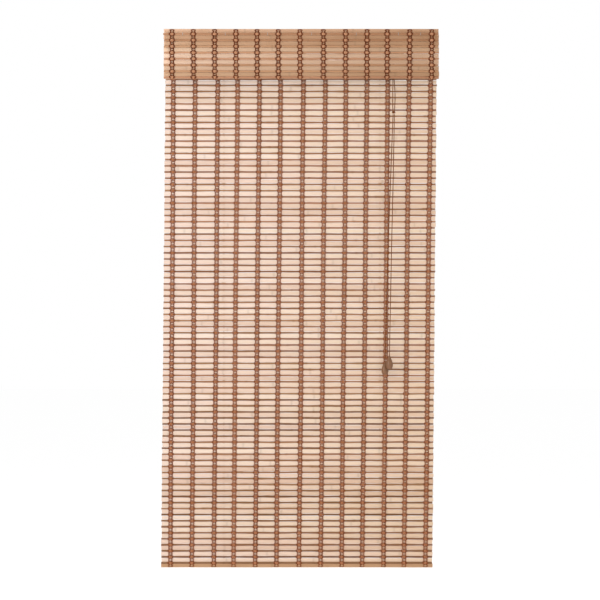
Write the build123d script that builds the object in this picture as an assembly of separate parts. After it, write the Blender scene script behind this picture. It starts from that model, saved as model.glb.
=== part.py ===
from build123d import *
import math
import os

# Woven bamboo roman shade with a headrail board, a valance, a pleating curtain,
# lift cords behind it and pull cords in front of it.
#
# Frame: +Z up, +X to the right as seen from the room, the wall is the plane y = 0
# and the room is on the -Y side.  The origin is the centre of the four wall holes
# of the two brackets.  All sizes are in millimetres.

# ---------------------------------------------------------------- driving sizes
WIDTH = 765.0            # length of every slat and stick (30 in nominal)
SLAT_H = 8.6             # pale flat slat, height and thickness
SLAT_T = 1.0
STICK_H = 5.4            # dark stick between the slats
STICK_T = 2.4
GAP = 1.635              # open gap between a slat and a stick
PITCH = SLAT_H + STICK_H + 2 * GAP      # 17.27, one slat and one stick
YARN_W = 14.0            # width and thickness of a yarn column on each face
YARN_T = 1.6
HALF_T = STICK_T / 2 + YARN_T           # half the woven thickness, 2.8
FOLD_CLEAR = 0.3         # a fold line stands this far outside the woven face
FOLD_E = HALF_T + FOLD_CLEAR            # fold line from the mid-plane, 3.1

Y_CURT = -22.0           # mid-plane of the curtain
BOARD_TOP, BOARD_H, BOARD_D = 20.0, 51.0, 38.0
BOARD_BOT = BOARD_TOP - BOARD_H
Y_BOARD_BACK = Y_CURT - HALF_T          # -24.8, the curtain lies on this face
Y_BOARD_FRONT = Y_BOARD_BACK - BOARD_D  # -62.8
Y_VAL = Y_BOARD_FRONT - HALF_T          # mid-plane of the valance
HEM_OFF = 2 * HALF_T + 0.1              # the turned-up hem lies this far behind

Z_STICK0 = -105.6        # stick 0 of the curtain, just above the valance's edge
PAIRS = (8, 8, 8, 8, 7)  # pairs of stick and slat in each panel of the 5 pleats
PITCHES = (17.486, 17.570, 17.249, 17.084, 17.029)  # pitch of the weave in each pleat
HEM_GAP = 0.45           # the last slat sits close under the last stick
RACK = 0.00885           # sideways lean of the weave, mm per mm of drop
RACK_FROM = -50.0

LIFT_X = (-219.0, 223.0)  # the two lift cords
LIFT_Y = -13.4
CORD_D = 2.2
CORD_R = CORD_D / 2
Z_CROSS = -45.1          # height at which the lift cords pass through the weave

BRACKET_X = 280.0
BRACKET_W = 24.0
PLATE = 2.0
WALL_HOLE_R = 2.5

# Yarn columns of the curtain at its top and at its foot, and of the valance.
COL_TOP = (-360.6, -299.3, -235.2, -179.9, -118.3, -58.2, 6.2, 67.8,
           126.5, 185.8, 244.5, 304.4, 364.9)
COL_FOOT = (-369.7, -308.4, -246.5, -191.5, -130.2, -70.6, -6.2, 54.5,
            113.8, 172.3, 232.4, 290.3, 350.4)
Z_COL_TOP, Z_COL_FOOT = -136.0, -1480.0
COL_VAL = (-359.2, -299.9, -240.7, -181.7, -123.0, -63.8, -3.4, 61.4,
           123.2, 183.0, 238.9, 301.5, 362.7)

PULL_X_LOCK = 257.0      # both pull cords leave the lock here
PULL_Y = (-55.2, -52.8)
Z_LOCK_EXIT = -58.0
KNOT = (258.3, -54.0, -204.6)
KNOT_R, KNOT_H = 5.0, 10.0
# Lower pull cords, from the knot to the tassels.
PULL_LEFT = ((256.5, -54.8, -209.7), (250.8, -53.0, -360.0),
             (242.5, -49.6, -590.0), (234.6, -45.5, -906.0))
PULL_RIGHT = ((260.3, -53.2, -209.7), (257.6, -55.4, -360.0),
              (251.6, -58.6, -590.0), (245.5, -62.5, -889.0))
TASSEL_R, TASSEL_H = 10.0, 33.0

os.makedirs("parts", exist_ok=True)


def lean(z):
    """Sideways place of the weave's middle at a height."""
    return RACK * (min(z, RACK_FROM) - RACK_FROM)


def column_x(i, z):
    """Place of a yarn column of the curtain at a height."""
    if z > Z_COL_TOP:
        return COL_TOP[i]
    t = (z - Z_COL_TOP) / (Z_COL_FOOT - Z_COL_TOP)
    return COL_TOP[i] + t * (COL_FOOT[i] - COL_TOP[i])


def block(x0, x1, y0, y1, z0, z1):
    return Pos((x0 + x1) / 2, (y0 + y1) / 2, (z0 + z1) / 2) * Box(
        x1 - x0, y1 - y0, z1 - z0)


def slat(z, y=Y_CURT, x=None):
    x = lean(z) if x is None else x
    return Pos(x, y, z) * Box(WIDTH, SLAT_T, SLAT_H)


def stick(z, y=Y_CURT, x=None):
    x = lean(z) if x is None else x
    return Pos(x, y, z) * Box(WIDTH, STICK_T, STICK_H)


def yarns(z0, z1, y=Y_CURT, xs=None, faces=(-1, 1)):
    """Front and back yarns of each column between two heights."""
    out = []
    for i in range(13):
        x = column_x(i, (z0 + z1) / 2) if xs is None else xs[i]
        for side in faces:
            yc = y + side * (STICK_T / 2 + YARN_T / 2)
            out.append(Pos(x, yc, (z0 + z1) / 2) * Box(YARN_W, YARN_T, z1 - z0))
    return out


def save(name, solids):
    if not isinstance(solids, (list, tuple)):
        solids = [solids]
    flat = []
    for s in solids:
        flat += list(s.solids())
    for s in flat:
        s.label = name
    shape = flat[0] if len(flat) == 1 else Compound(label=name, children=flat)
    export_step(shape, f"parts/{name}.step")


def tube(points, r=CORD_R, radii=None):
    """A round cord along straight runs joined by tangent arcs."""
    pts = [Vector(*p) for p in points]
    if radii is None:
        radii = []
        for a, b, c in zip(pts, pts[1:], pts[2:]):
            u, v = b - a, c - b
            half = math.radians(u.get_angle(v)) / 2
            radii.append(0.45 * min(u.length, v.length) / math.tan(half))
    print("cord radii", [round(q, 1) for q in radii])
    path = FilletPolyline(*pts, radius=radii) if len(pts) > 2 else Line(pts[0], pts[1])
    start = path.location_at(0)
    ring = Plane(origin=pts[0], z_dir=(pts[1] - pts[0])) * Circle(r)
    body = sweep(ring, path=path)
    print("  length", round(path.length, 1), "volume ratio",
          round(body.volume / (math.pi * r * r * path.length), 4))
    return body


# ---------------------------------------------------------------- folds
# Each fold line lies in the gap above a stick.  Even ones lie outside the front
# face, where the curtain folds towards the wall, odd ones outside the back face.
# The weave is a little looser in its upper half, so each pleat has its own pitch.
fold_z = [Z_STICK0 - PITCH + STICK_H / 2 + GAP / 2]
stick_top = [1]
panel_pitch = []
for n, pitch in zip(PAIRS, PITCHES):
    for half in range(2):
        fold_z.append(fold_z[-1] - n * pitch)
        stick_top.append(stick_top[-1] + n)
        panel_pitch.append(pitch)
print("folds", [round(z, 2) for z in fold_z])
fold_y = [Y_CURT + (FOLD_E if k % 2 else -FOLD_E) for k in range(11)]


def stick_z(k):
    """Height of a stick: k is 0 or less in the apron, 1 and more in the panels."""
    if k < 1:
        return Z_STICK0 - PITCH * k
    for p in range(10):
        if k < stick_top[p + 1]:
            half_gap = (panel_pitch[p] - SLAT_H - STICK_H) / 4
            return (fold_z[p] - half_gap - STICK_H / 2
                    - panel_pitch[p] * (k - stick_top[p]))
    return fold_z[10] - (panel_pitch[9] - SLAT_H - STICK_H) / 4 - STICK_H / 2


def slat_z(k):
    """Height of the slat under stick k."""
    if k < 1:
        return stick_z(k) - PITCH / 2
    for p in range(10):
        if k < stick_top[p + 1]:
            return stick_z(k) - panel_pitch[p] / 2
    return stick_z(k) - STICK_H / 2 - HEM_GAP - SLAT_H / 2


# ---------------------------------------------------------------- apron
# The fixed top of the curtain, stapled to the back of the board.
apron_sticks = [stick(stick_z(k)) for k in range(0, -8, -1)]
apron_slats = []
for k in range(0, -8, -1):
    s = slat(slat_z(k))
    if abs(slat_z(k) - Z_CROSS) < 1:
        for x in LIFT_X:
            s -= Pos(x, Y_CURT, Z_CROSS) * Box(3.4, 4.0, 3.4)
    apron_slats.append(s)
z_apron_top = stick_z(-7) + STICK_H / 2
save("apron_sticks", apron_sticks)
save("apron_slats", apron_slats)
save("apron_yarns", yarns(fold_z[0] + GAP / 2, z_apron_top))

# ---------------------------------------------------------------- panels
for p in range(10):
    k0, k1 = stick_top[p], stick_top[p + 1]
    name = f"panel_{p + 1:02d}"
    save(name + "_sticks", [stick(stick_z(k)) for k in range(k0, k1)])
    save(name + "_slats", [slat(slat_z(k)) for k in range(k0, k1)])
    save(name + "_yarns", yarns(fold_z[p + 1] + GAP / 2, fold_z[p] - GAP / 2))

# Rings behind the back folds, one for each lift cord.
RING_R, RING_r = 4.6, 0.9
for j, f in enumerate((2, 4, 6, 8)):
    save(f"lift_rings_{j + 1}",
         [Pos(x, LIFT_Y, fold_z[f]) * Torus(RING_R, RING_r) for x in LIFT_X])

# ---------------------------------------------------------------- foot
k_last = stick_top[10]
z_foot = slat_z(k_last) - SLAT_H / 2
save("hem_strips", [stick(stick_z(k_last)), slat(slat_z(k_last))])
save("hem_yarns", yarns(z_foot, fold_z[10] - GAP / 2))
RAIL_D = 10.0
y_rail0 = Y_CURT + HALF_T
rail_top, rail_bot = fold_z[10] - GAP / 2 - 0.1, z_foot + 0.2
rail = block(lean(z_foot) - WIDTH / 2 + 1, lean(z_foot) + WIDTH / 2 - 1,
             y_rail0, y_rail0 + RAIL_D, rail_bot, rail_top)
rail = chamfer(rail.edges().filter_by(Axis.X).group_by(Axis.Y)[-1], 1.5)
CBORE = 7.0
for x in LIFT_X:
    rail -= Pos(x, LIFT_Y, (rail_bot + rail_top) / 2) * Cylinder(1.6, 40)
    rail -= Pos(x, LIFT_Y, rail_bot + CBORE / 2) * Cylinder(3.9, CBORE)
save("bottom_rail", rail)
knots = []
for x in LIFT_X:
    k = Pos(x, LIFT_Y, rail_bot + CBORE - 2.5) * Cylinder(3.5, 5.0)
    knots.append(fillet(k.edges().filter_by(GeomType.CIRCLE), 1.2))
save("lift_cord_knots", knots)

# ---------------------------------------------------------------- headrail
board = block(-WIDTH / 2 + 2, WIDTH / 2 - 2, Y_BOARD_FRONT, Y_BOARD_BACK,
              BOARD_BOT, BOARD_TOP)

WIRE = 0.9
LEG = 14.0
half_span = STICK_H / 2 + GAP / 2
staple_x_back = [(COL_TOP[i] + COL_TOP[i + 1]) / 2 for i in (0, 2, 4, 6, 8, 10, 11)]
staple_x_front = [(COL_VAL[i] + COL_VAL[i + 1]) / 2 for i in (0, 2, 4, 6, 8, 10, 11)]
VAL_STICK0 = 10.6


def staple(x, y_face, direction, z):
    """A wire staple that straddles one stick; its legs point along direction."""
    y0 = y_face
    crown = block(x - WIRE / 2, x + WIRE / 2, min(y0, y0 - direction * WIRE),
                  max(y0, y0 - direction * WIRE),
                  z - half_span - WIRE / 2, z + half_span + WIRE / 2)
    out = crown
    for s in (-1, 1):
        ya, yb = y0, y0 + direction * LEG
        out += block(x - WIRE / 2, x + WIRE / 2, min(ya, yb), max(ya, yb),
                     z + s * half_span - WIRE / 2, z + s * half_span + WIRE / 2)
    return out


staples = []
z_back = stick_z(-6)
for x in staple_x_back:
    staples.append(staple(x, Y_CURT + STICK_T / 2, -1, z_back))
for x in staple_x_front:
    staples.append(staple(x, Y_VAL - STICK_T / 2, 1, VAL_STICK0))
board = board - staples
save("staples", staples)

# Screws: two down through each bracket, two up through the cord lock.
screws = []
SC_Y = (-36.0, -50.0)


def screw(x, y, z, up, length=16.0, r=1.9, head_r=3.8, head_h=2.2):
    """A pan-head screw whose head sits at z; it runs down, or up if up is true."""
    s = 1 if up else -1
    head = Pos(x, y, z - s * head_h / 2) * Cylinder(head_r, head_h)
    shank = Pos(x, y, z + s * length / 2) * Cylinder(r, length)
    slot = Pos(x, y, z - s * (head_h - 0.4)) * Box(6.0, 0.8, 0.8)
    return head + shank - slot


for bx in (-BRACKET_X, BRACKET_X):
    for y in SC_Y:
        screws.append(screw(bx, y, BOARD_TOP + PLATE, False))
        board -= Pos(bx, y, BOARD_TOP - 7.0) * Cylinder(1.9, 14.0)

# Screw eyes under the board, rings across the run of the cords.
EYE_X = (LIFT_X[0] + 8.0, LIFT_X[1] + 8.0)
EYE_Z, EYE_R, EYE_r = -43.5, 5.0, 1.1
eyes = []
for x in EYE_X:
    ring = Pos(x, -54.0, EYE_Z) * Rot(0, 90, 0) * Torus(EYE_R, EYE_r)
    top = BOARD_BOT + 12.0
    low = EYE_Z + EYE_R - 0.3
    shank = Pos(x, -54.0, (top + low) / 2) * Cylinder(1.2, top - low)
    eyes.append(ring + shank)
    board -= Pos(x, -54.0, BOARD_BOT + 6.0) * Cylinder(1.2, 12.0)
save("screw_eyes", eyes)

# Cord lock: a folded steel housing with a fixed guide roller and a locking roller.
LOCK_X0, LOCK_X1, LOCK_Y0, LOCK_Y1 = 241.0, 279.0, -62.0, -46.0
LOCK_T = 1.5
housing = block(LOCK_X0, LOCK_X1, LOCK_Y0, LOCK_Y1, BOARD_BOT - LOCK_T, BOARD_BOT)
for y0 in (LOCK_Y0, LOCK_Y1 - LOCK_T):
    housing += block(244.0, 272.0, y0, y0 + LOCK_T, Z_LOCK_EXIT, BOARD_BOT - LOCK_T)
GUIDE = (251.5, -50.6)
ROLL = (264.5, -50.0)
TRAVEL = 3.5
DIR = (-0.6, 0.8)
ym = (LOCK_Y0 + LOCK_Y1) / 2
for q in (0.0, TRAVEL):
    housing -= Pos(ROLL[0] + DIR[0] * q, ym, ROLL[1] + DIR[1] * q) * Rot(90, 0, 0) * Cylinder(1.65, 30)
housing -= (Pos(ROLL[0] + DIR[0] * TRAVEL / 2, ym, ROLL[1] + DIR[1] * TRAVEL / 2)
            * Rot(0, math.degrees(math.atan2(-DIR[1], DIR[0])), 0) * Box(TRAVEL, 30, 3.3))
housing -= Pos(GUIDE[0], ym, GUIDE[1]) * Rot(90, 0, 0) * Cylinder(1.5, 30)
lock_screw_x = (LOCK_X0 + 2.4 + 1.6, 275.4)
for x in lock_screw_x:
    housing -= Pos(x, ym, BOARD_BOT) * Cylinder(1.3, 10)
    board -= Pos(x, ym, BOARD_BOT + 6.0) * Cylinder(1.3, 12.0)
    screws.append(screw(x, ym, BOARD_BOT - LOCK_T, True, length=13.5, r=1.3,
                        head_r=2.3, head_h=1.4))
gap_y = (LOCK_Y1 - LOCK_Y0) - 2 * LOCK_T
guide = Pos(GUIDE[0], ym, GUIDE[1]) * Rot(90, 0, 0) * (
    Cylinder(4.2, gap_y - 0.4) + Cylinder(1.5, gap_y + 2 * LOCK_T + 1.6))
roller = Pos(ROLL[0], ym, ROLL[1]) * Rot(90, 0, 0) * (
    Cylinder(4.0, gap_y - 0.8) + Cylinder(1.6, gap_y + 2 * LOCK_T + 1.0))
save("lock_housing", [housing, guide])
save("lock_roller", roller)
save("screws", screws)
save("headrail_board", board)

# Steel angle brackets: one leg on the board, the other down the wall.
for name, bx in (("bracket_left", -BRACKET_X), ("bracket_right", BRACKET_X)):
    leg = block(bx - BRACKET_W / 2, bx + BRACKET_W / 2, -58.0, 0.0,
                BOARD_TOP, BOARD_TOP + PLATE)
    leg += block(bx - BRACKET_W / 2, bx + BRACKET_W / 2, -PLATE, 0.0, -36.0,
                 BOARD_TOP)
    leg = fillet(leg.edges().filter_by(Axis.Z).group_by(Axis.Y)[0], 3.0)
    leg = fillet(leg.edges().filter_by(Axis.Y).group_by(Axis.Z)[0], 3.0)
    for z in (-10.0, 10.0):
        leg -= Pos(bx, -PLATE / 2, z) * Rot(90, 0, 0) * Cylinder(WALL_HOLE_R, 10)
    for y in SC_Y:
        leg -= Pos(bx, y, BOARD_TOP + PLATE / 2) * Cylinder(1.9, 10)
    save(name, leg)

# ---------------------------------------------------------------- valance
v_stick = [VAL_STICK0 - PITCH * j for j in range(8)]
v_slat = [VAL_STICK0 + PITCH / 2 - PITCH * j for j in range(8)]
Y_HEM = Y_VAL + HEM_OFF
hem_z = -107.6
hem_slat = [hem_z, hem_z + PITCH]
hem_stick = [hem_z + PITCH / 2, hem_z + 1.5 * PITCH]
save("valance_sticks", [stick(z, Y_VAL, 0) for z in v_stick]
     + [stick(z, Y_HEM, 0) for z in hem_stick])
save("valance_slats", [slat(z, Y_VAL, 0) for z in v_slat]
     + [slat(z, Y_HEM, 0) for z in hem_slat])
v_top, v_foot = v_slat[0] + SLAT_H / 2, v_stick[-1] - STICK_H / 2 - 2.7
val_yarns = yarns(v_foot, v_top, Y_VAL, COL_VAL)
val_yarns += yarns(hem_z - SLAT_H / 2, hem_stick[-1] + STICK_H / 2, Y_HEM, COL_VAL)
save("valance_yarns", val_yarns)
print("valance", v_top, v_foot, "total height", v_top - z_foot)

# ---------------------------------------------------------------- cords
z_bend = Z_CROSS - 8.0
header = []
header.append(tube([(LIFT_X[0], LIFT_Y, z_bend), (LIFT_X[0], LIFT_Y, Z_CROSS),
                    (LIFT_X[0], PULL_Y[0], Z_CROSS),
                    (PULL_X_LOCK, PULL_Y[0], Z_CROSS),
                    (PULL_X_LOCK, PULL_Y[0], Z_LOCK_EXIT)], radii=[5.0, 6.0, 5.5]))
header.append(tube([(LIFT_X[1], LIFT_Y, z_bend), (LIFT_X[1], LIFT_Y, Z_CROSS),
                    (LIFT_X[1], PULL_Y[1], Z_CROSS),
                    (PULL_X_LOCK, PULL_Y[1], Z_CROSS),
                    (PULL_X_LOCK, PULL_Y[1], Z_LOCK_EXIT)], radii=[5.0, 6.0, 5.5]))
save("header_cords", header)

z_lift_end = rail_bot + CBORE + 0.4
save("lift_cords", [Pos(x, LIFT_Y, (z_bend + z_lift_end) / 2)
                    * Cylinder(CORD_R, z_bend - z_lift_end) for x in LIFT_X])

z_knot_top = KNOT[2] + KNOT_H / 2
upper = []
for y0, end in ((PULL_Y[0], PULL_LEFT[0]), (PULL_Y[1], PULL_RIGHT[0])):
    upper.append(tube([(PULL_X_LOCK, y0, Z_LOCK_EXIT - 0.3),
                       (end[0], end[1], z_knot_top + 0.3)]))
save("pull_cords_upper", upper)
knot = Pos(*KNOT) * Cylinder(KNOT_R, KNOT_H)
knot = fillet(knot.edges().filter_by(GeomType.CIRCLE), 2.0)
save("cord_knot", knot)
save("pull_cord_left", tube(PULL_LEFT))
save("pull_cord_right", tube(PULL_RIGHT))


def tassel(top):
    """A turned wooden acorn, bored for the cord and hollow below for its knot."""
    x, y, z = top
    with BuildPart() as bp:
        with BuildSketch(Plane.XZ):
            with BuildLine():
                l1 = Polyline((1.35, 0), (3.2, 0), (3.9, -1.4), (4.2, -3.0))
                l2 = Spline((4.2, -3.0), (6.9, -8.0), (9.2, -14.0), (10.0, -20.0),
                            (9.3, -25.5), (7.2, -30.6))
                l3 = Polyline((7.2, -30.6), (6.6, -32.4), (5.6, -33.0), (4.6, -32.4),
                              (3.8, -22.0), (1.35, -20.5), (1.35, 0))
            make_face()
        revolve(axis=Axis.Z)
    return Pos(x, y, z + 1.5) * bp.part


save("tassel_left", tassel(PULL_LEFT[-1]))
save("tassel_right", tassel(PULL_RIGHT[-1]))
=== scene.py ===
import math

import bpy
import numpy as np
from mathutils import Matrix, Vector


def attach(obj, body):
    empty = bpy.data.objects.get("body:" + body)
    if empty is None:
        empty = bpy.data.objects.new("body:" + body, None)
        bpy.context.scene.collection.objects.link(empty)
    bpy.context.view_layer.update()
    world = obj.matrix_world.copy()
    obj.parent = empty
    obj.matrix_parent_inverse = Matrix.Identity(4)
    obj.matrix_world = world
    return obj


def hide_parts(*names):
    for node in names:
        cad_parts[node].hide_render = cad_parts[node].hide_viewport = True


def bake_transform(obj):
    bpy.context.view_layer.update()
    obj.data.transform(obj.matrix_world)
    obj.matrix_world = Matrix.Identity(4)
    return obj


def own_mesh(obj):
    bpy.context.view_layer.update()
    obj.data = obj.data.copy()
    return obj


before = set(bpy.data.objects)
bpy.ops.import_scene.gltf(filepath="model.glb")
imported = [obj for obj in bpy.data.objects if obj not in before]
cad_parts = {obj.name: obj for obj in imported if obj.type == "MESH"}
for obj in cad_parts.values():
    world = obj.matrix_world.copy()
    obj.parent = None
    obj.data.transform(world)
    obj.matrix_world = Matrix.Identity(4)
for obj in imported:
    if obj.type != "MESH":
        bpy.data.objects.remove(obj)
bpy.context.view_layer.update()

MM = 0.001

# ---------------------------------------------------------------- sizes, in mm, as in the model
WIDTH = 765.0
SLAT_H, SLAT_T = 8.6, 1.0
STICK_H, STICK_T = 5.4, 2.4
GAP = 1.635
PITCH = SLAT_H + STICK_H + 2 * GAP
YARN_T = 1.6
HALF_T = STICK_T / 2 + YARN_T
Y_CURT = -22.0
Y_BOARD_FRONT = Y_CURT - HALF_T - 38.0
Y_VAL = Y_BOARD_FRONT - HALF_T
Y_HEM = Y_VAL + 2 * HALF_T + 0.1
Z_STICK0 = -105.6
VAL_STICK0 = 10.6
HEM_Z = -107.6
PAIRS = (8, 8, 8, 8, 7)
PITCHES = (17.486, 17.570, 17.249, 17.084, 17.029)
HEM_GAP = 0.45
RACK, RACK_FROM = 0.00885, -50.0
LIFT_X, LIFT_Y = (-219.0, 223.0), -13.4
COL_TOP = (-360.6, -299.3, -235.2, -179.9, -118.3, -58.2, 6.2, 67.8,
           126.5, 185.8, 244.5, 304.4, 364.9)
COL_FOOT = (-369.7, -308.4, -246.5, -191.5, -130.2, -70.6, -6.2, 54.5,
            113.8, 172.3, 232.4, 290.3, 350.4)
Z_COL_TOP, Z_COL_FOOT = -136.0, -1480.0
COL_VAL = (-359.2, -299.9, -240.7, -181.7, -123.0, -63.8, -3.4, 61.4,
           123.2, 183.0, 238.9, 301.5, 362.7)

fold_z = [Z_STICK0 - PITCH + STICK_H / 2 + GAP / 2]
stick_top = [1]
panel_pitch = []
for n, pitch in zip(PAIRS, PITCHES):
    for half in range(2):
        fold_z.append(fold_z[-1] - n * pitch)
        stick_top.append(stick_top[-1] + n)
        panel_pitch.append(pitch)


def lean(z):
    return RACK * (min(z, RACK_FROM) - RACK_FROM)


def column_x(i, z):
    z = np.asarray(z, float)
    t = np.clip((z - Z_COL_TOP) / (Z_COL_FOOT - Z_COL_TOP), 0, 1.02)
    return COL_TOP[i] + t * (COL_FOOT[i] - COL_TOP[i])


# ---------------------------------------------------------------- camera and stage
cam_data = bpy.data.cameras.new("Camera")
cam = bpy.data.objects.new("Camera", cam_data)
bpy.context.scene.collection.objects.link(cam)
cam.location = (-0.0034, -2.906, -0.7291)
cam.rotation_euler = (math.radians(90), 0, 0)
cam_data.sensor_width = 36.0
cam_data.lens = 36.0 * 2.884 / (600 * 2.824 * MM)
cam_data.clip_end = 60
bpy.context.scene.camera = cam


def new_material(name):
    m = bpy.data.materials.new(name)
    m.use_nodes = True
    nt = m.node_tree
    nt.nodes.clear()
    out = nt.nodes.new("ShaderNodeOutputMaterial")
    return m, nt, out


class Nodes:
    """Small helper that adds nodes and links them."""

    def __init__(self, nt):
        self.nt = nt

    def add(self, kind, ins=None, **props):
        n = self.nt.nodes.new(kind)
        for k, v in props.items():
            setattr(n, k, v)
        for k, v in (ins or {}).items():
            sock = n.inputs[k]
            if isinstance(v, bpy.types.NodeSocket):
                self.nt.links.new(v, sock)
            else:
                sock.default_value = v
        return n

    def ramp(self, fac, stops):
        r = self.add("ShaderNodeValToRGB", {"Fac": fac})
        e = r.color_ramp.elements
        while len(e) < len(stops):
            e.new(0.5)
        for el, (p, c) in zip(e, stops):
            el.position = p
            el.color = (*c, 1.0)
        return r.outputs["Color"]

    def mix(self, fac, a, b, blend="MIX"):
        m = self.add("ShaderNodeMix", data_type="RGBA", blend_type=blend)
        for sock, v in ((m.inputs[0], fac), (m.inputs[6], a), (m.inputs[7], b)):
            if isinstance(v, bpy.types.NodeSocket):
                self.nt.links.new(v, sock)
            elif isinstance(v, tuple):
                sock.default_value = (*v, 1.0)
            else:
                sock.default_value = v
        return m.outputs[2]

    def math(self, op, a, b=None, c=None, clamp=False):
        m = self.add("ShaderNodeMath", operation=op, use_clamp=clamp)
        for i, v in enumerate((a, b, c)):
            if v is None:
                continue
            if isinstance(v, bpy.types.NodeSocket):
                self.nt.links.new(v, m.inputs[i])
            else:
                m.inputs[i].default_value = v
        return m.outputs[0]

    def coords(self, scale, rot=(0, 0, 0)):
        t = self.add("ShaderNodeTexCoord")
        mp = self.add("ShaderNodeMapping", {"Vector": t.outputs["Object"], "Scale": scale,
                                            "Rotation": rot})
        return mp.outputs["Vector"]

    def noise(self, vec, scale, detail=4.0, rough=0.55, distortion=0.0):
        n = self.add("ShaderNodeTexNoise", {"Vector": vec, "Scale": scale, "Detail": detail,
                                            "Roughness": rough, "Distortion": distortion})
        return n.outputs["Fac"]

    def bump(self, height, strength, distance, normal=None):
        ins = {"Height": height, "Strength": strength, "Distance": distance}
        if normal is not None:
            ins["Normal"] = normal
        return self.add("ShaderNodeBump", ins).outputs["Normal"]

    def attr(self, name):
        return self.add("ShaderNodeAttribute", attribute_name=name).outputs["Fac"]


def lin(r, g, b):
    """sRGB 0-255 to linear."""
    out = []
    for c in (r, g, b):
        c /= 255.0
        out.append(c / 12.92 if c <= 0.04045 else ((c + 0.055) / 1.055) ** 2.4)
    return tuple(out)


def bamboo(name, dark, mid, pale, translucent, thru, rough, streak=1.0,
           warm=(1.0, 0.985, 0.99), olive=(0.994, 1.0, 0.98),
           # right and low: painted shade, the colour factors reached at the right end and at the
           # foot
           right=(1.0, 1.0, 1.0), low=(1.0, 1.0, 1.0)):
    """Split bamboo: long fibres, a tone of its own for each strip, node marks, and painted shade
    that darkens it to the right and to the foot.
    """
    m, nt, out = new_material(name)
    k = Nodes(nt)
    tone = k.attr("tone")
    mark = k.attr("mark")
    hue = k.attr("hue")
    fibre = k.noise(k.coords((7.0, 900.0, 900.0)), 1.0, 5.0, 0.6)
    blotch = k.noise(k.coords((9.0, 60.0, 60.0)), 1.0, 3.0, 0.5)
    fine = k.noise(k.coords((30.0, 3200.0, 3200.0)), 1.0, 3.0, 0.6)
    f = k.math("MULTIPLY_ADD", fibre, 0.55 * streak, k.math("MULTIPLY", tone, 0.65))
    f = k.math("MULTIPLY_ADD", blotch, 0.35, f)
    f = k.math("SUBTRACT", f, 0.26 + 0.275 * (streak - 1), clamp=True)
    col = k.ramp(f, [(0.0, dark), (0.42, mid), (0.95, pale)])
    col = k.mix(k.math("MULTIPLY", mark, 0.28), col, tuple(0.45 * c for c in mid))
    pits = k.math("GREATER_THAN", k.noise(k.coords((45.0, 420.0, 420.0)), 1.0, 2.0), 0.69)
    col = k.mix(k.math("MULTIPLY", pits, 0.12), col, tuple(0.5 * c for c in dark))
    hue_and_painted_shade = k.mix(hue, warm, olive)
    # painted shade: a slow darkening of the colour to the right and to the foot, standing in for
    # light that falls off there
    at = k.add("ShaderNodeSeparateXYZ", {"Vector": k.coords((1, 1, 1))})
    painted_shade_to_right = k.add("ShaderNodeMapRange", {"Value": at.outputs["X"], "From Min": -0.38,
                                            "From Max": 0.38}).outputs["Result"]
    painted_shade_to_foot = k.add("ShaderNodeMapRange", {"Value": at.outputs["Z"], "From Min": -0.75,
                                           "From Max": -1.3}).outputs["Result"]
    hue_and_painted_shade = k.mix(1.0, hue_and_painted_shade, k.mix(painted_shade_to_right, (1.0, 1.0, 1.0), right), "MULTIPLY")
    hue_and_painted_shade = k.mix(1.0, hue_and_painted_shade, k.mix(painted_shade_to_foot, (1.0, 1.0, 1.0), low), "MULTIPLY")
    col = k.mix(1.0, col, hue_and_painted_shade, "MULTIPLY")
    h = k.math("ADD", k.math("MULTIPLY", fibre, 0.7), k.math("MULTIPLY", fine, 0.3))
    nrm = k.bump(h, 0.5, 0.00035)
    bs = k.add("ShaderNodeBsdfPrincipled", {"Base Color": col, "Normal": nrm})
    bs.inputs["Roughness"].default_value = rough
    bs.inputs["Specular IOR Level"].default_value = 0.18
    if translucent > 0:
        tcol = k.mix(k.math("MULTIPLY", fibre, 0.5), thru, tuple(c * 0.86 for c in thru))
        tcol = k.mix(k.math("MULTIPLY", mark, 0.28), tcol, tuple(c * 0.5 for c in thru))
        tcol = k.mix(k.math("MULTIPLY", k.math("SUBTRACT", 1.0, tone), 0.35), tcol,
                     tuple(c * q for c, q in zip(thru, (0.80, 0.70, 0.60))))
        # the painted shade in this factor also darkens the light through the slats
        tcol = k.mix(1.0, tcol, hue_and_painted_shade, "MULTIPLY")
        tr = k.add("ShaderNodeBsdfTranslucent", {"Color": tcol, "Normal": nrm})
        mx = k.add("ShaderNodeMixShader", {"Fac": translucent})
        nt.links.new(bs.outputs[0], mx.inputs[1])
        nt.links.new(tr.outputs[0], mx.inputs[2])
        nt.links.new(mx.outputs[0], out.inputs["Surface"])
    else:
        nt.links.new(bs.outputs[0], out.inputs["Surface"])
    return m


# painted shade: right and low darken the curtain's slats and sticks towards the right and the foot
MAT_SLAT = bamboo("bamboo_pale", lin(199, 157, 131), lin(220, 185, 160), lin(236, 211, 190),
                  0.55, lin(241, 240, 240), 0.5, right=(0.975, 0.945, 0.87),
                  low=(0.965, 0.94, 0.92))
MAT_STICK = bamboo("bamboo_dark", lin(98, 66, 44), lin(138, 98, 70), lin(172, 130, 98),
                   0.0, (0, 0, 0), 0.55, 1.2, (1.0, 0.92, 0.93), (0.96, 1.0, 0.93),
                   low=(0.74, 0.74, 0.70))
# painted light: the valance has its own copies of the pale and dark bamboo, with colours set apart
# from the curtain's to stand in for the different light on it, and painted shade that darkens it to
# the right
MAT_VAL_SLAT = bamboo("bamboo_pale_valance", lin(184, 140, 104), lin(212, 172, 138),
                      lin(242, 216, 192), 0.42, lin(250, 240, 232), 0.5, 1.1,
                      right=(0.80, 0.73, 0.65))
MAT_VAL_STICK = bamboo("bamboo_dark_valance", lin(128, 86, 62), lin(166, 120, 90),
                       lin(194, 150, 118), 0.0, (0, 0, 0), 0.55, 1.2, (1.0, 0.93, 0.94),
                       (0.97, 1.0, 0.94), right=(0.84, 0.80, 0.74))
MAT_HEM = bamboo("bamboo_foot", lin(162, 118, 86), lin(190, 148, 112), lin(214, 176, 142),
                 0.25, lin(240, 226, 210), 0.5)


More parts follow.
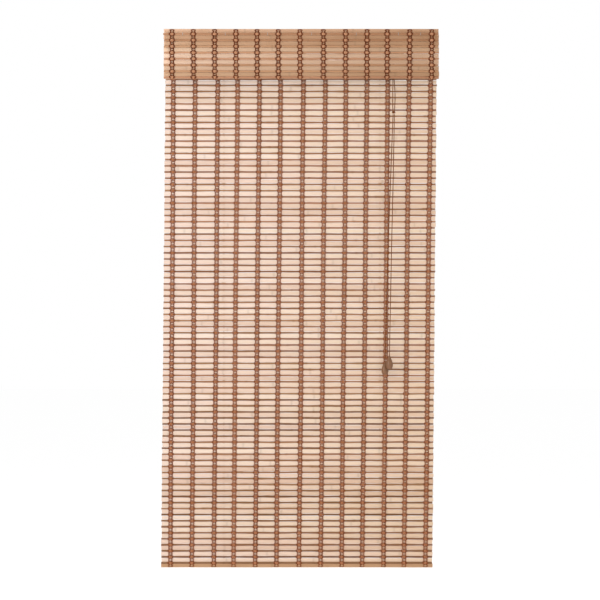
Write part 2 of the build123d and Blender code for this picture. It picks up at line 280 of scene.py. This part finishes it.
def yarn_material(name, a, b, c, scale, rough=0.85):
    m, nt, out = new_material(name)
    k = Nodes(nt)
    tone = k.attr("tone")
    tw = k.add("ShaderNodeTexWave", {"Vector": k.coords((1, 1, 1), (0.5, 0.6, 0.0)),
                                     "Scale": scale, "Distortion": 2.5, "Detail": 2.0,
                                     "Detail Scale": 3.0}, wave_type="BANDS",
               bands_direction="Z").outputs["Fac"]
    fz = k.noise(k.coords((1, 1, 1)), 2600.0, 4.0, 0.65)
    f = k.math("MULTIPLY_ADD", tw, 0.35, k.math("MULTIPLY", fz, 0.35))
    f = k.math("MULTIPLY_ADD", tone, 0.45, f)
    col = k.ramp(f, [(0.15, a), (0.72, b), (1.0, c)])
    nrm = k.bump(k.math("MULTIPLY_ADD", fz, 0.6, tw), 0.8, 0.0004)
    bs = k.add("ShaderNodeBsdfPrincipled", {"Base Color": col, "Normal": nrm})
    bs.inputs["Roughness"].default_value = rough
    bs.inputs["Specular IOR Level"].default_value = 0.08
    nt.links.new(bs.outputs[0], out.inputs["Surface"])
    return m


MAT_YARN = yarn_material("yarn", lin(92, 38, 14), lin(156, 88, 52), lin(208, 156, 120), 520.0)
MAT_CORD = yarn_material("cord", lin(82, 40, 12), lin(124, 70, 28), lin(154, 98, 50),
                         420.0, 0.7)


def wood_material(name, dark, mid, pale, grain_axis, rough=0.5, ring=14.0):
    m, nt, out = new_material(name)
    k = Nodes(nt)
    s = [260.0, 260.0, 260.0]
    s[grain_axis] = 9.0
    g = k.noise(k.coords(tuple(s)), 1.0, 5.0, 0.6, 0.6)
    s2 = [38.0, 38.0, 38.0]
    s2[grain_axis] = 1.4
    w = k.add("ShaderNodeTexWave", {"Vector": k.coords(tuple(s2)), "Scale": ring / 10.0,
                                    "Distortion": 5.0, "Detail": 3.0, "Detail Scale": 1.2},
              wave_type="RINGS", rings_direction="XYZ"[grain_axis]).outputs["Fac"]
    f = k.math("MULTIPLY_ADD", w, 0.45, k.math("MULTIPLY", g, 0.6))
    col = k.ramp(f, [(0.12, dark), (0.5, mid), (0.9, pale)])
    nrm = k.bump(k.math("MULTIPLY_ADD", w, 0.3, g), 0.4, 0.0005)
    bs = k.add("ShaderNodeBsdfPrincipled", {"Base Color": col, "Normal": nrm})
    bs.inputs["Roughness"].default_value = rough
    bs.inputs["Specular IOR Level"].default_value = 0.4
    nt.links.new(bs.outputs[0], out.inputs["Surface"])
    return m


MAT_PINE = wood_material("pine", lin(186, 138, 88), lin(214, 172, 122), lin(232, 198, 150), 0)
MAT_TASSEL = wood_material("tassel_wood", lin(72, 44, 26), lin(114, 76, 48), lin(150, 108, 74),
                           2, 0.34, 40.0)


def metal_material(name, color, rough, scratch=900.0):
    m, nt, out = new_material(name)
    k = Nodes(nt)
    n1 = k.noise(k.coords((1, 1, 1)), scratch, 3.0, 0.6)
    n2 = k.noise(k.coords((1, 1, 1)), 70.0, 3.0, 0.5)
    col = k.ramp(k.math("MULTIPLY_ADD", n1, 0.4, k.math("MULTIPLY", n2, 0.6)),
                 [(0.3, tuple(0.72 * c for c in color)), (0.7, color)])
    rg = k.math("MULTIPLY_ADD", n2, 0.25, rough - 0.1)
    nrm = k.bump(n1, 0.15, 0.0002)
    bs = k.add("ShaderNodeBsdfPrincipled", {"Base Color": col, "Roughness": rg, "Normal": nrm})
    bs.inputs["Metallic"].default_value = 1.0
    nt.links.new(bs.outputs[0], out.inputs["Surface"])
    return m


MAT_ZINC = metal_material("zinc_steel", (0.62, 0.62, 0.60), 0.38)
MAT_BRASS = metal_material("brass", (0.72, 0.56, 0.30), 0.32)


def plastic_material(name, color):
    m, nt, out = new_material(name)
    k = Nodes(nt)
    n = k.noise(k.coords((1, 1, 1)), 600.0, 3.0)
    col = k.ramp(n, [(0.3, tuple(0.93 * c for c in color)), (0.7, color)])
    bs = k.add("ShaderNodeBsdfPrincipled", {"Base Color": col,
                                            "Normal": k.bump(n, 0.1, 0.0002)})
    bs.inputs["Roughness"].default_value = 0.42
    nt.links.new(bs.outputs[0], out.inputs["Surface"])
    return m


MAT_RING = plastic_material("ring_plastic", lin(232, 224, 206))

# ---------------------------------------------------------------- mesh helpers


def build(name, verts_mm, polys, mat, body, smooth=True, attrs=None):
    """A mesh from an (n, 3) array in mm and a list of (m, k) arrays of corners."""
    me = bpy.data.meshes.new(name)
    v = np.asarray(verts_mm, np.float32) * MM
    polys = [np.asarray(p, np.int32) for p in polys if len(p)]
    loops = np.concatenate([p.ravel() for p in polys])
    sizes = np.concatenate([np.full(len(p), p.shape[1], np.int32) for p in polys])
    starts = np.concatenate([[0], np.cumsum(sizes)[:-1]]).astype(np.int32)
    me.vertices.add(len(v))
    me.vertices.foreach_set("co", v.ravel())
    me.loops.add(len(loops))
    me.loops.foreach_set("vertex_index", loops)
    me.polygons.add(len(sizes))
    me.polygons.foreach_set("loop_start", starts)
    me.update(calc_edges=True)
    me.validate()
    me.polygons.foreach_set("use_smooth", np.full(len(me.polygons), smooth))
    for k, a in (attrs or {}).items():
        at = me.attributes.new(k, "FLOAT", "POINT")
        at.data.foreach_set("value", np.asarray(a, np.float32))
    me.materials.append(mat)
    o = bpy.data.objects.new(name, me)
    bpy.context.scene.collection.objects.link(o)
    if body is not None:
        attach(o, body)
    return o


def ring_quads(n_rings, k, base=0):
    """Quads between consecutive rings of k points."""
    a = np.arange(n_rings - 1)[:, None] * k + base
    j = np.arange(k)[None, :]
    j2 = (j + 1) % k
    q = np.stack([a + j, a + j2, a + k + j2, a + k + j], axis=-1)
    return q.reshape(-1, 4)


def wave(rng, x, scales=(420.0, 170.0, 65.0), amps=(1.0, 0.6, 0.35)):
    """Smooth random line along x, about -1 to 1."""
    out = np.zeros_like(x)
    for s, a in zip(scales, amps):
        out += a * np.sin(2 * np.pi * x / (s * rng.uniform(0.8, 1.25)) + rng.uniform(0, 6.3))
    return out / sum(amps) * 1.3


def strip(rng, kind, z0, y0, x0, wild=1.0):
    """Rings of one slat or stick from its left end to its right end."""
    grow = 1.2
    if kind == "slat_end":                  # beside a fold line, clear of the next stick
        kind, grow = "slat", 0.7
    L = WIDTH / 2
    xa, xb = -L + rng.uniform(-1.1, 0.9) * wild, L - rng.uniform(-1.1, 0.9) * wild
    xs = list(np.linspace(xa, xb, 30 if kind == "slat" else 40))
    nodes = []
    p = rng.uniform(-L, -L + 330)
    while p < L - 12:
        if p > -L + 12:
            nodes.append(p)
        p += rng.uniform(230, 390)
    for p in nodes:
        xs += [p - 5, p - 1.6, p, p + 1.6, p + 5]
    xs = np.array(sorted(xs))
    near = np.zeros_like(xs)
    for p in nodes:
        near = np.maximum(near, np.exp(-((xs - p) / 2.0) ** 2))
    if kind == "slat":
        h, t, c = SLAT_H / 2 + grow, SLAT_T / 2, 0.26
        ring = np.array([(h - c, -t), (h, -t + c), (h, t - c), (h - c, t), (-h + c, t),
                         (-h, t - c), (-h, -t + c), (-h + c, -t)])
        top = 0.16 * wave(rng, xs) + 0.16 * near
        bot = 0.16 * wave(rng, xs) - 0.16 * near
        bow = 0.12 * wave(rng, xs, (310.0, 120.0), (1.0, 0.5))
        fat = 0.10 * near
        cut = 0.35
    else:
        h, t = STICK_H / 2, STICK_T / 2
        ang = (np.arange(8) + 0.5) / 8 * 2 * np.pi
        cs, sn = np.cos(ang), np.sin(ang)
        ring = np.stack([h * np.sign(cs) * np.abs(cs) ** 0.62,
                         -t * np.sign(sn) * np.abs(sn) ** 0.72], axis=1)
        top = 0.32 * wave(rng, xs, (260.0, 95.0, 38.0), (1.0, 0.8, 0.5)) + 0.22 * near
        bot = 0.32 * wave(rng, xs, (260.0, 95.0, 38.0), (1.0, 0.8, 0.5)) - 0.22 * near
        bow = 0.10 * wave(rng, xs, (310.0, 120.0), (1.0, 0.5))
        fat = 0.10 * near
        cut = 0.6
    n, k = len(xs), len(ring)
    zz = ring[None, :, 0] + np.where(ring[None, :, 0] > 0, top[:, None], bot[:, None])
    yy = ring[None, :, 1] * (1 + fat[:, None]) + bow[:, None] * (1 if kind == "slat" else 0.6)
    xx = np.repeat(xs[:, None], k, 1)
    xx[0] += rng.uniform(-cut, cut, k)
    xx[-1] += rng.uniform(-cut, cut, k)
    v = np.stack([xx + x0, yy + y0, zz + z0], axis=-1).reshape(-1, 3)
    mark = np.repeat(np.maximum(near, 0)[:, None], k, 1).ravel()
    quads = ring_quads(n, k)[:, ::-1]
    caps = np.array([np.arange(k), (n - 1) * k + np.arange(k)[::-1]])
    return v, quads, caps, mark


def strips(name, rng, items, mat, body, replaces, tones=None):
    """One piece of several slats or sticks: items are (kind, z, y, x)."""
    V, Q, C, M, T, H = [], [], [], [], [], []
    base = 0
    for n, (kind, z, y, x) in enumerate(items):
        v, q, c, mk = strip(rng, kind, z, y, x)
        V.append(v); Q.append(q + base); C.append(c + base); M.append(mk)
        T.append(np.full(len(v), tones[n] if tones else rng.beta(2.2, 2.2)))
        H.append(np.full(len(v), rng.uniform(0, 1)))
        base += len(v)
    o = build(name, np.concatenate(V), [np.concatenate(Q), np.concatenate(C)], mat, body,
              True, {"tone": np.concatenate(T), "mark": np.concatenate(M), "hue": np.concatenate(H)})
    o.data.set_sharp_from_angle(angle=math.radians(50))
    if replaces:
        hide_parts(*replaces)
    return o


# ---------------------------------------------------------------- slats and sticks
def sz(k):
    """Height of stick k, and of the slat under it."""
    if k < 1:
        return Z_STICK0 - PITCH * k
    for p in range(10):
        if k < stick_top[p + 1]:
            return (fold_z[p] - (panel_pitch[p] - SLAT_H - STICK_H) / 4 - STICK_H / 2
                    - panel_pitch[p] * (k - stick_top[p]))
    return fold_z[10] - (panel_pitch[9] - SLAT_H - STICK_H) / 4 - STICK_H / 2


def lz(k):
    if k < 1:
        return sz(k) - PITCH / 2
    for p in range(10):
        if k < stick_top[p + 1]:
            return sz(k) - panel_pitch[p] / 2
    return sz(k) - STICK_H / 2 - HEM_GAP - SLAT_H / 2


rng = np.random.default_rng(20)
for p in range(10):
    nm = f"panel_{p + 1:02d}"
    ks = range(stick_top[p], stick_top[p + 1])
    strips(f"slats_{p + 1:02d}", rng,
           [("slat_end" if k == ks[-1] else "slat", lz(k), Y_CURT, lean(lz(k))) for k in ks],
           MAT_SLAT, nm, [nm + "_slats"])
    strips(f"sticks_{p + 1:02d}", rng, [("stick", sz(k), Y_CURT, lean(sz(k))) for k in ks],
           MAT_STICK, nm, [nm + "_sticks"])
strips("slats_apron", rng, [("slat" if k else "slat_end", lz(k), Y_CURT, lean(lz(k)))
                            for k in range(0, -8, -1)],
       MAT_SLAT, "root", ["apron_slats"])
strips("sticks_apron", rng, [("stick", sz(k), Y_CURT, lean(sz(k))) for k in range(0, -8, -1)],
       MAT_STICK, "root", ["apron_sticks"])
kl = stick_top[10]
strips("hem_slat", rng, [("slat", lz(kl), Y_CURT, lean(lz(kl)))], MAT_HEM, "rail",
       ["hem_strips"])
strips("hem_stick", rng, [("stick", sz(kl), Y_CURT, lean(sz(kl)))], MAT_STICK, "rail",
       ["hem_strips"])
v_stick = [VAL_STICK0 - PITCH * j for j in range(8)]
v_slat = [VAL_STICK0 + PITCH / 2 - PITCH * j for j in range(8)]
h_slat = [HEM_Z, HEM_Z + PITCH]
h_stick = [HEM_Z + PITCH / 2, HEM_Z + 1.5 * PITCH]
# painted light: the listed row tones make the valance rows below the board paler, standing in for
# light shining through them
strips("valance_slats_v", rng, [("slat", z, Y_VAL, 0) for z in v_slat]
       + [("slat", z, Y_HEM, 0) for z in h_slat], MAT_VAL_SLAT, "root",
       ["valance_slats"], (0.45, 0.3, 0.4, 0.78, 0.88, 0.84, 0.7, 0.4, 0.5, 0.5))
strips("valance_sticks_v", rng, [("stick", z, Y_VAL, 0) for z in v_stick]
       + [("stick", z, Y_HEM, 0) for z in h_stick], MAT_VAL_STICK, "root",
       ["valance_sticks"])

# ---------------------------------------------------------------- yarns
RX, RY = 1.25, 0.90
T_STICK = np.array([0.0, 0.24, 0.5, 0.76])
T_SLAT = np.array([0.0, 0.12, 0.22, 0.36, 0.64, 0.78, 0.88])
PASS = 2.25                 # past the gap's middle, where the two yarns of a face cross
SIDES = 5
NS = len(T_STICK) + len(T_SLAT)


def weave_points(items, xs_of, rng, amp=(7.1, 5.9)):
    """The lines of the four yarns of one column.
    items are (kind, centre y, centre z, direction of travel) in the order of travel.
    The yarns change faces in the gaps, and cross each other a little way onto the slats,
    so that there is a tall ring around each stick and a low one on each slat."""
    cross = []
    for j, (kind, y, z, d) in enumerate(items):
        half = (STICK_H if kind == "stick" else SLAT_H) / 2
        if j == 0:
            cross.append(z - d * half)
        if j == len(items) - 1:
            cross.append(z + d * half)
            break
        k2, _, z2, _ = items[j + 1]
        half2 = (STICK_H if k2 == "stick" else SLAT_H) / 2
        cross.append((z + d * half + z2 - d * half2) / 2)
    meet = [cross[0]]
    for j in range(1, len(cross) - 1):
        d = items[j][3]
        meet.append(cross[j] + (d * PASS if items[j][0] == "slat" else -d * PASS))
    meet.append(cross[-1])
    lines = []
    for face in (-1, 1):
        for side in (-1, 1):
            P = []
            bow = [(amp[0] if it[0] == "stick" else amp[1]) * rng.uniform(0.94, 1.05)
                   for it in items]
            for j, (kind, y, z, d) in enumerate(items):
                front = face if kind == "stick" else -face
                depth = (STICK_T if kind == "stick" else SLAT_T) / 2 + RY
                t = T_STICK if kind == "stick" else T_SLAT
                if j == len(items) - 1:
                    t = np.append(t, 1.0)
                zz = cross[j] + (cross[j + 1] - cross[j]) * t
                # which ring each point is in, and how far the yarn bows out there
                x = np.zeros(len(zz))
                for q in (j - 1, j, j + 1):
                    if q < 0 or q >= len(items):
                        continue
                    u = (zz - meet[q]) / (meet[q + 1] - meet[q])
                    on = (u >= 0) & (u <= 1)
                    f = np.sqrt(np.clip(1 - np.abs(2 * u - 1) ** 2.2, 0, 1))
                    x = np.where(on, np.maximum(x, bow[q] * f), x)
                xx = xs_of(zz) + side * np.maximum(x, 0.5)
                by = np.sqrt(np.clip(1 - np.abs(2 * t - 1) ** 4.0, 0, 1))
                yy = y - d * front * depth * by + 0.35 * face * (1 - by)
                P.append(np.stack([xx, yy, zz], axis=1))
            lines.append(np.concatenate(P))
    return lines


def inner_yarn(items, xs_of):
    """The softer inner strands over each stick, front and back, as low oval pads."""
    sets = []
    u = np.array([-1.0, -0.42, 0.42, 1.0])
    for kind, y, z, d in items:
        if kind != "stick":
            continue
        zz = z + 4.2 * u
        w = 5.6 * np.sqrt(1 - 0.8 * u ** 2)
        x = xs_of(zz)
        for face in (-1, 1):
            yy = y + face * (STICK_T / 2 + 0.30 - 0.75 * u ** 4)
            R = np.zeros((4, 5, 3))
            for m, a in enumerate((np.arange(5) / 5 - 0.25) * 2 * np.pi):
                R[:, m, 0] = x + w * np.cos(a)
                R[:, m, 1] = yy + face * 0.38 * np.sin(a)
                R[:, m, 2] = zz
            if face < 0:
                R = R[:, ::-1]
            sets.append(R)
    return sets


def tube_rings(P, rx, ry, sides):
    """Rings of a tube along P, with x kept as the reference side."""
    T = np.gradient(P, axis=0)
    T /= np.linalg.norm(T, axis=1)[:, None]
    ref = np.array([1.0, 0, 0])
    N = ref - (T @ ref)[:, None] * T
    N /= np.maximum(np.linalg.norm(N, axis=1), 1e-6)[:, None]
    B = np.cross(T, N)
    a = np.arange(sides) / sides * 2 * np.pi
    R = P[:, None] + rx * np.cos(a)[None, :, None] * N[:, None] \
        + ry * np.sin(a)[None, :, None] * B[:, None]
    return R


def tube_rings_along(P, rz, ry, sides):
    """Rings of a tube along a line that runs mostly in x."""
    T = np.gradient(P, axis=0)
    T /= np.linalg.norm(T, axis=1)[:, None]
    ref = np.array([0, 0, 1.0])
    N = ref - (T @ ref)[:, None] * T
    N /= np.linalg.norm(N, axis=1)[:, None]
    B = np.cross(T, N)
    a = np.arange(sides) / sides * 2 * np.pi
    return P[:, None] + rz * np.cos(a)[None, :, None] * N[:, None] \
        + ry * np.sin(a)[None, :, None] * B[:, None]


def tubes_piece(name, ring_sets, tones, mat, body):
    """One piece of many open tubes: ring_sets is a list of (n, k, 3) arrays."""
    V, Q, C, T = [], [], [], []
    base = 0
    for R, tone in zip(ring_sets, tones):
        n, k = R.shape[:2]
        V.append(R.reshape(-1, 3))
        Q.append(ring_quads(n, k, base))
        C.append(np.array([base + np.arange(k)[::-1], base + (n - 1) * k + np.arange(k)]))
        T.append(np.full(n * k, tone))
        base += n * k
    return build(name, np.concatenate(V), [np.concatenate(Q), np.concatenate(C)], mat, body,
                 True, {"tone": np.concatenate(T)})


rng = np.random.default_rng(5)
curt = []                                   # (kind, y, z, direction) from top to foot
for k in range(-7, kl + 1):
    curt.append(("stick", Y_CURT, sz(k), -1))
    curt.append(("slat", Y_CURT, lz(k), -1))
first_z = curt[0][2]
col_rings, col_tones, col_lines = [], [], []
for i in range(13):
    phase = rng.uniform(0, 6.3)
    xs_of = lambda z, i=i, ph=phase: column_x(i, z) + 0.5 * np.sin(z / 170.0 + ph)
    col_lines.append(xs_of)
    for L in weave_points(curt, xs_of, rng):
        col_rings.append(tube_rings(L, RX, RY, SIDES))
        col_tones.append(rng.uniform(0.2, 0.8))


def item_index(k):
    """Sample index at the gap above stick k."""
    return (k + 7) * NS


def yarn_piece(name, a, b, body, replaces, bodies=None):
    k0, k1 = a // NS - 7, b // NS - 7
    pads = []
    for xs in col_lines:
        pads += inner_yarn([("stick", Y_CURT, sz(k), -1) for k in range(k0, k1)], xs)
    o = tubes_piece(name, [R[a:b + 1] for R in col_rings] + pads,
                    col_tones + [0.95] * len(pads), MAT_YARN, None if bodies else body)
    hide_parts(*replaces)
    if bodies:
        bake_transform(o)
    return o


fold_i = [item_index(k) for k in stick_top]
mids = [item_index((stick_top[p] + stick_top[p + 1]) // 2) for p in range(10)]
end_i = col_rings[0].shape[0] - 1
yarn_piece("yarns_apron", 0, fold_i[0] - NS, "root", ["apron_yarns"])
yarn_piece("yarns_fold_00", fold_i[0] - NS, mids[0], "root",
           ["apron_yarns", "panel_01_yarns"], ("root", "panel_01"))
for f in range(1, 10):
    a, b = f"panel_{f:02d}", f"panel_{f + 1:02d}"
    yarn_piece(f"yarns_fold_{f:02d}", mids[f - 1], mids[f], a, [a + "_yarns", b + "_yarns"],
               (a, b))
yarn_piece("yarns_fold_10", mids[9], end_i, "panel_10", ["panel_10_yarns", "hem_yarns"],
           ("panel_10", "rail"))

# The valance: down the front, around the edge and up its hem.
v_items = []
for j in range(8):
    v_items.append(("slat", Y_VAL, v_slat[j], -1))
    v_items.append(("stick", Y_VAL, v_stick[j], -1))
h_items = [("slat", Y_HEM, h_slat[0], 1), ("stick", Y_HEM, h_stick[0], 1),
           ("slat", Y_HEM, h_slat[1], 1), ("stick", Y_HEM, h_stick[1], 1)]
v_rings, v_tones = [], []
for i in range(13):
    phase = rng.uniform(0, 6.3)
    xs_of = lambda z, i=i, ph=phase: COL_VAL[i] + 0.35 * np.sin(np.asarray(z) / 45.0 + ph)
    front = weave_points(v_items, xs_of, rng, (7.3, 5.2))
    back = weave_points(h_items, xs_of, rng, (7.3, 5.2))
    for a, b in zip(front, back):
        t = np.linspace(0.2, 0.8, 3)[:, None]
        turn = a[-1] * (1 - t) + b[0] * t
        turn[:, 2] -= 1.3 * np.sin(np.pi * t[:, 0])
        L = np.concatenate([a, turn, b])
        v_rings.append(tube_rings(L, RX + 0.2, RY, SIDES))
        v_tones.append(rng.uniform(-0.2, 0.1))
    pads = inner_yarn(v_items + h_items, xs_of)
    v_rings += pads
    v_tones += [1.3] * len(pads)
for i in range(13):                         # the tied yarn ends along the top edge
    xx = np.linspace(-6.2, 6.2, 9)
    zt = v_slat[0] + SLAT_H / 2 - 1.6
    L = np.stack([COL_VAL[i] + xx, Y_VAL - SLAT_T / 2 - 1.0 + 0.02 * xx ** 2,
                  zt + 0.5 * np.sin(xx * 0.9 + rng.uniform(0, 6))], axis=1)
    v_rings.append(tube_rings_along(L, 1.2, 0.9, SIDES))
    v_tones.append(rng.uniform(0.1, 0.4))
o = tubes_piece("yarns_valance", v_rings, v_tones, MAT_YARN, "root")
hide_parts("valance_yarns")


# ---------------------------------------------------------------- cords
def nurbs_line(points_mm, name="route", res=24):
    """Points along the NURBS curve of a route, in mm."""
    cu = bpy.data.curves.new(name, "CURVE")
    cu.dimensions = "3D"
    s = cu.splines.new("NURBS")
    s.points.add(len(points_mm) - 1)
    for q, pt in zip(s.points, points_mm):
        q.co = (pt[0] * MM, pt[1] * MM, pt[2] * MM, 1)
    s.order_u = 3
    s.use_endpoint_u = True
    cu.resolution_u = res
    o = bpy.data.objects.new(name, cu)
    me = bpy.data.meshes.new_from_object(o)
    line = np.array([v.co for v in me.vertices], float) / MM
    bpy.data.meshes.remove(me)
    bpy.data.objects.remove(o)
    bpy.data.curves.remove(cu)
    return line


def respace(line, step):
    s = np.concatenate([[0], np.cumsum(np.linalg.norm(np.diff(line, axis=0), axis=1))])
    at = np.linspace(0, s[-1], max(3, int(round(s[-1] / step)) + 1))
    return np.stack([np.interp(at, s, line[:, k]) for k in range(3)], axis=1), at


def frames(P):
    T = np.gradient(P, axis=0)
    T /= np.linalg.norm(T, axis=1)[:, None]
    ref = np.array([0.0, 1.0, 0.0])
    if abs((T @ ref)).max() > 0.95:
        ref = np.array([0.3, 0.2, 0.93])
    N = np.cross(T, ref)
    N /= np.linalg.norm(N, axis=1)[:, None]
    return T, N, np.cross(T, N)


def twisted(name, line, diameter, body, step=1.2, lay=7.0, strands=3, sides=6, mat=None):
    """A cord of twisted strands along a line in mm; returns the piece and its path."""
    P, at = respace(line, step)
    T, N, B = frames(P)
    r = diameter / 2 + 0.15
    rs = r * 0.58
    sets = []
    for s in range(strands):
        a = 2 * np.pi * (at / lay + s / strands)
        C = P + (r - rs) * (np.cos(a)[:, None] * N + np.sin(a)[:, None] * B)
        ang = np.arange(sides) / sides * 2 * np.pi
        R = C[:, None] + rs * (np.cos(ang)[None, :, None] * N[:, None]
                               + np.sin(ang)[None, :, None] * B[:, None])
        sets.append(R)
    o = tubes_piece(name, sets, [0.5] * strands, mat or MAT_CORD, body)
    return o, P


CORD_D = 2.2
PULL_X, PULL_Y = 257.0, (-55.2, -52.8)
KNOT = (258.3, -54.0, -204.6)
Z_A, Z_B, Z_SPLIT = -58.0, -199.6, -141.0
PULL_LEFT = ((256.5, -54.8, -209.7), (250.8, -53.0, -360.0),
             (242.5, -49.6, -590.0), (234.6, -45.5, -906.0))
PULL_RIGHT = ((260.3, -53.2, -209.7), (257.6, -55.4, -360.0),
              (251.6, -58.6, -590.0), (245.5, -62.5, -889.0))


def tassel_piece(name, top, node, body):
    """A turned wooden bell with fine turned rings, as a lathe mesh."""
    prof = [(1.35, 1.4), (2.4, 1.5), (3.2, 1.2), (3.6, 0.3), (3.9, -0.9), (4.1, -1.5),
            (3.8, -1.9), (4.3, -2.3), (5.2, -4.0), (6.3, -6.0), (7.4, -8.6), (8.3, -11.2),
            (9.0, -13.8), (9.5, -16.2), (9.8, -18.2), (9.55, -18.6), (9.85, -19.0),
            (9.95, -21.0), (9.7, -23.4), (9.2, -25.6), (8.4, -27.8), (7.4, -29.6),
            (6.7, -30.8), (6.1, -31.4), (5.4, -31.6), (4.7, -31.0), (4.3, -28.0),
            (3.8, -20.6), (1.35, -19.2)]
    k = 40
    a = np.arange(k) / k * 2 * np.pi
    V = []
    for r, z in prof:
        V.append(np.stack([top[0] + r * np.cos(a), top[1] + r * np.sin(a),
                           np.full(k, top[2] + z)], axis=1))
    o = build(name, np.concatenate(V), [ring_quads(len(prof) + 1, k) % (len(prof) * k)],
              MAT_TASSEL, body, True, None)
    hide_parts(node)
    return o


tl = tassel_piece("tassel_left_v", PULL_LEFT[-1], "tassel_left", "pull_set")
tr = tassel_piece("tassel_right_v", PULL_RIGHT[-1], "tassel_right", "pull_set")

# The overhand knot that ties both pull cords.
t = np.linspace(0, 2 * np.pi, 90)
kn = np.stack([1.55 * (np.sin(t) + 2 * np.sin(2 * t)) * 0.82,
               1.30 * (np.cos(t) - 2 * np.cos(2 * t)) * 0.62,
               -1.9 * np.sin(3 * t) * 1.15], axis=1) + np.array(KNOT)
kn_rings = tube_rings(kn[:-1], 1.45, 1.45, 8)
V = kn_rings.reshape(-1, 3)
knot = build("cord_knot_v", V, [ring_quads(90, 8) % len(V)], MAT_CORD, "pull_set",
             True, {"tone": np.full(len(V), 0.35)})
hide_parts("cord_knot")

for side, (y0, low, tas, node) in {
        "left": (PULL_Y[0], PULL_LEFT, tl, "pull_cord_left"),
        "right": (PULL_Y[1], PULL_RIGHT, tr, "pull_cord_right")}.items():
    sx = -1 if side == "left" else 1
    top = (PULL_X, y0, Z_A)
    foot = (low[0][0] + sx * 0.4, low[0][1], Z_B)
    bulge = (256.4 + 0.2 * sx, y0, -96.0) if sx < 0 else (258.6, y0, -96.0)
    wide = (255.6, y0 + 0.2, -160.0) if sx < 0 else (262.6, y0 - 0.2, -160.0)
    near = (low[0][0] + sx * 1.2, low[0][1], -186.0)
    line = nurbs_line([top, (PULL_X, y0, -70.0), bulge,
                       ((bulge[0] + wide[0]) / 2, y0, -128.0), wide, near, foot])
    P, at = respace(line, 1.0)
    cut = int(np.argmin(np.abs(P[:, 2] - Z_SPLIT)))
    a, path_a = twisted(f"pull_cord_{side}_top", P[:cut + 1], CORD_D, None, 1.0)
    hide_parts("pull_cords_upper")
    b, path_b = twisted(f"pull_cord_{side}_mid", P[cut:], CORD_D, None, 1.0)
    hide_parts("pull_cords_upper")
    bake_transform(a)
    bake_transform(b)
    lowline = nurbs_line(low)
    c, path_c = twisted(f"pull_cord_{side}_low", lowline, CORD_D, "pull_set", 1.4)
    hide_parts(node)

# Lift cords: straight from the eyes down to the foot; on the shade they shorten towards the eyes as
# the foot rises.
z0, z1 = -53.1, -1475.4
for side, x in zip(("left", "right"), LIFT_X):
    o, _ = twisted(f"lift_cord_{side}", np.array([(x, LIFT_Y, z0), (x, LIFT_Y, z1)]), CORD_D,
                   "root", 2.0)
    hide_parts("lift_cords")
    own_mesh(o)

# Thread ties that hold the rings to the back folds.
for j, f in enumerate((2, 4, 6, 8)):
    sets = []
    for x in LIFT_X:
        tt = np.linspace(0, 2 * np.pi, 25)[:-1]
        P = np.stack([x + 0.5 * np.sin(2 * tt), -19.0 + 1.7 * np.cos(tt),
                      fold_z[f] + 1.9 * np.sin(tt)], axis=1)
        for dx in (-0.8, 0.8):
            Q = P + np.array([dx, 0, 0])
            Q = np.concatenate([Q, Q[:1]])
            sets.append(tube_rings(Q, 0.4, 0.4, 6))
    tubes_piece(f"ring_ties_{j + 1}", sets, [0.5] * len(sets), MAT_YARN, f"ring_row_{j + 1}")

# ---------------------------------------------------------------- carried-over CAD nodes
CAD_MATS = {
    "headrail_board": MAT_PINE, "bottom_rail": MAT_PINE,
    "bracket_left": MAT_ZINC, "bracket_right": MAT_ZINC, "screws": MAT_ZINC,
    "staples": MAT_ZINC, "screw_eyes": MAT_BRASS, "lock_housing": MAT_ZINC,
    "lock_roller": MAT_BRASS, "header_cords": MAT_CORD, "lift_cord_knots": MAT_CORD,
    "lift_rings_1": MAT_RING, "lift_rings_2": MAT_RING, "lift_rings_3": MAT_RING,
    "lift_rings_4": MAT_RING,
}
for node, mat in CAD_MATS.items():
    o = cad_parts[node]
    if not o.material_slots:
        o.data.materials.append(None)
    for s in o.material_slots:
        s.link = "OBJECT"
        s.material = mat

# ---------------------------------------------------------------- floor and light
me = bpy.data.meshes.new("floor")
R = 14.0
me.from_pydata([(-R, -R, 0), (R, -R, 0), (R, R, 0), (-R, R, 0)], [], [(0, 1, 2, 3)])
floor = bpy.data.objects.new("floor", me)
bpy.context.scene.collection.objects.link(floor)
floor.location = (0, 0, -2.2)
m, nt, out = new_material("floor_pale")
k = Nodes(nt)
bs = k.add("ShaderNodeBsdfPrincipled")
bs.inputs["Base Color"].default_value = (0.99, 0.99, 0.99, 1)
bs.inputs["Roughness"].default_value = 1.0
bs.inputs["Specular IOR Level"].default_value = 0.0
nt.links.new(bs.outputs[0], out.inputs["Surface"])
me.materials.append(m)

world = bpy.data.worlds.new("World")
bpy.context.scene.world = world
world.use_nodes = True
wn = world.node_tree
wn.nodes.clear()
bg = wn.nodes.new("ShaderNodeBackground")
bg.inputs["Color"].default_value = (1.0, 1.0, 1.0, 1)
bg.inputs["Strength"].default_value = 1.0
wo = wn.nodes.new("ShaderNodeOutputWorld")
wn.links.new(bg.outputs[0], wo.inputs["Surface"])


def area(name, loc, target, size, power, color=(1, 1, 1)):
    d = bpy.data.lights.new(name, "AREA")
    d.shape = "DISK"
    d.size = size
    d.energy = power
    d.color = color
    o = bpy.data.objects.new(name, d)
    bpy.context.scene.collection.objects.link(o)
    o.location = loc
    o.rotation_euler = (Vector(target) - Vector(loc)).to_track_quat("-Z", "Y").to_euler()
    return o


area("key", (-2.5, -2.5, 0.0), (0, 0, -0.7), 0.8, 50)
area("back", (-1.1, 2.4, 0.0), (-0.1, 0, -0.6), 0.35, 60)

sc = bpy.context.scene
sc.view_settings.view_transform = "Standard"
sc.view_settings.look = "None"
